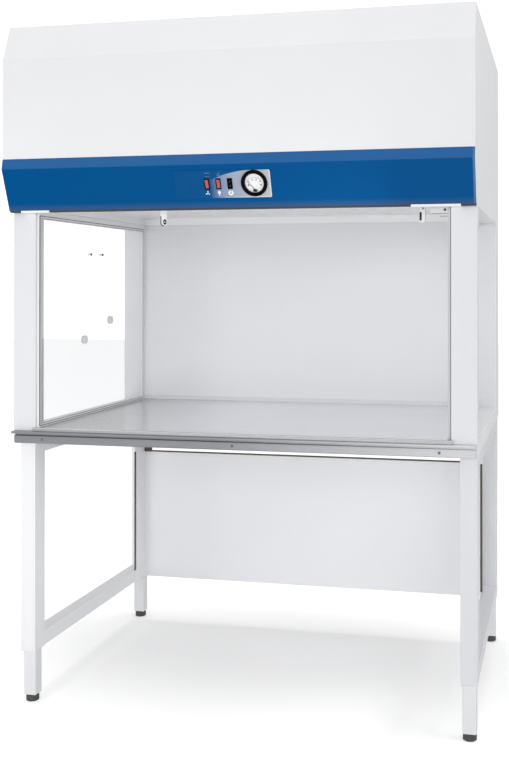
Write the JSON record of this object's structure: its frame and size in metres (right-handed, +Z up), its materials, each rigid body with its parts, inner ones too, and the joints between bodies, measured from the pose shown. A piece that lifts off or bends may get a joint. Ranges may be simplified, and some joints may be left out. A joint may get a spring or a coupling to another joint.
{
  "type": "laminar flow hood",
  "caption": "Free-standing laminar flow hood: folded steel hood with fan, filter and raked control face, side glasses, steel worktop, and a stand with telescopic legs and levelling feet.",
  "frame": {"origin": "on the floor, under the middle of the bench", "axes": "+X to the right across the bench, +Y from the operator to the back, +Z up"},
  "size_m": [1.34, 0.98, 1.97],
  "materials": {
    "white_coat": "smooth satin powder coat",
    "blue_coat": "satin powder coat",
    "grille_coat": "satin powder coat over finely perforated sheet",
    "plate_film": "printed film, semi gloss",
    "silver_film": "printed silver film",
    "black_plastic": "moulded",
    "red_plastic": "moulded translucent",
    "dial_white": "printed dial",
    "clear_glass": "clear",
    "trim_metal": "satin",
    "grey_plastic": "moulded",
    "pleat_paper": "pleated filter paper",
    "black_rubber": "foam rubber",
    "zinc_sheet": "zinc coated sheet",
    "motor_paint": "painted",
    "filter_pad": "non-woven pad",
    "lamp_glass": "frosted tube",
    "white_plastic": "moulded",
    "stainless": "fine brushed",
    "rail_metal": "satin anodised",
    "screw_metal": "plated",
    "edge_strip": "extruded strip",
    "tube_coat": "satin powder coat",
    "foot_plastic": "moulded nylon"
  },
  "bodies": {
    "bench": {"hood_casing": "white_coat", "hood_back_panel": "white_coat", "fascia": "blue_coat", "fascia_brackets": "white_coat", "control_plate": "plate_film", "silver_sweep": "silver_film", "switch_housings": "black_plastic", "gauge_case": "black_plastic", "gauge_dial": "dial_white", "gauge_lens": "clear_glass", "post_left": "white_coat", "post_right": "white_coat", "side_glass_left": "clear_glass", "side_glass_right": "clear_glass", "glass_trim_left": "trim_metal", "glass_trim_right": "trim_metal", "service_plugs": "grey_plastic", "glass_studs": "black_plastic", "back_grille": "grille_coat", "rear_duct": "white_coat", "ceiling_screen": "white_coat", "filter_frame": "trim_metal", "filter_pleats": "pleat_paper", "filter_gasket": "black_rubber", "filter_shelves": "white_coat", "plenum_deck": "white_coat", "blower_housing": "zinc_sheet", "blower_motor": "motor_paint", "motor_bracket": "zinc_sheet", "prefilter_pad": "filter_pad", "intake_grille": "white_coat", "lamp_trough": "white_coat", "lamp_tube": "lamp_glass", "lamp_sockets": "white_plastic", "hanger_brackets": "white_coat", "worktop": "stainless", "front_rail": "rail_metal", "rail_screws": "screw_metal", "base_frame": "white_coat", "stand_frame_left": "white_coat", "stand_frame_right": "white_coat", "rear_cross_rail": "white_coat", "modesty_panel": "white_coat", "panel_edge_strip": "edge_strip", "leg_guides": "grey_plastic", "lock_bolts": "screw_metal", "mains_inlet": "black_plastic"},
    "fan_rocker": {"fan_rocker": "red_plastic"},
    "light_rocker": {"light_rocker": "red_plastic"},
    "power_rocker": {"power_rocker": "black_plastic"},
    "gauge_needle": {"gauge_needle": "black_plastic"},
    "blower_wheel": {"blower_wheel": "zinc_sheet"},
    "telescopic_leg_front_left": {"telescopic_leg_front_left": "tube_coat"},
    "foot_front_left": {"foot_front_left": "foot_plastic"},
    "telescopic_leg_front_right": {"telescopic_leg_front_right": "tube_coat"},
    "foot_front_right": {"foot_front_right": "foot_plastic"},
    "telescopic_leg_rear_left": {"telescopic_leg_rear_left": "tube_coat"},
    "foot_rear_left": {"foot_rear_left": "foot_plastic"},
    "telescopic_leg_rear_right": {"telescopic_leg_rear_right": "tube_coat"},
    "foot_rear_right": {"foot_rear_right": "foot_plastic"}
  },
  "joints": [
    {"name": "fan_rocker_press", "type": "hinge", "parent": "bench", "child": "fan_rocker", "pos_m": [-0.062, -0.46954, 1.50333], "axis": [-1, 0, 0], "range_deg": [0, 14]},
    {"name": "light_rocker_press", "type": "hinge", "parent": "bench", "child": "light_rocker", "pos_m": [-0.029, -0.46954, 1.50333], "axis": [-1, 0, 0], "range_deg": [0, 14]},
    {"name": "power_rocker_press", "type": "hinge", "parent": "bench", "child": "power_rocker", "pos_m": [0.004, -0.46954, 1.50333], "axis": [-1, 0, 0], "range_deg": [0, 14]},
    {"name": "needle_swing", "type": "hinge", "parent": "bench", "child": "gauge_needle", "pos_m": [0.073, -0.4623, 1.48469], "axis": [0, 0.9321, 0.3621], "range_deg": [0, 76], "stiffness_Nm_per_rad": 0.0002},
    {"name": "wheel_spin", "type": "hinge", "parent": "bench", "child": "blower_wheel", "pos_m": [0, 0, 1.766], "axis": [1, 0, 0], "continuous": true},
    {"name": "leg_slide_front_left", "type": "slide", "parent": "bench", "child": "telescopic_leg_front_left", "axis": [0, 0, -1], "range_m": [0, 0.114]},
    {"name": "foot_screw_front_left", "type": "slide", "parent": "telescopic_leg_front_left", "child": "foot_front_left", "axis": [0, 0, -1], "range_m": [0, 0.02]},
    {"name": "leg_slide_front_right", "type": "slide", "parent": "bench", "child": "telescopic_leg_front_right", "axis": [0, 0, -1], "range_m": [0, 0.114]},
    {"name": "foot_screw_front_right", "type": "slide", "parent": "telescopic_leg_front_right", "child": "foot_front_right", "axis": [0, 0, -1], "range_m": [0, 0.02]},
    {"name": "leg_slide_rear_left", "type": "slide", "parent": "bench", "child": "telescopic_leg_rear_left", "axis": [0, 0, -1], "range_m": [0, 0.114]},
    {"name": "foot_screw_rear_left", "type": "slide", "parent": "telescopic_leg_rear_left", "child": "foot_rear_left", "axis": [0, 0, -1], "range_m": [0, 0.02]},
    {"name": "leg_slide_rear_right", "type": "slide", "parent": "bench", "child": "telescopic_leg_rear_right", "axis": [0, 0, -1], "range_m": [0, 0.114]},
    {"name": "foot_screw_rear_right", "type": "slide", "parent": "telescopic_leg_rear_right", "child": "foot_rear_right", "axis": [0, 0, -1], "range_m": [0, 0.02]}
  ]
}
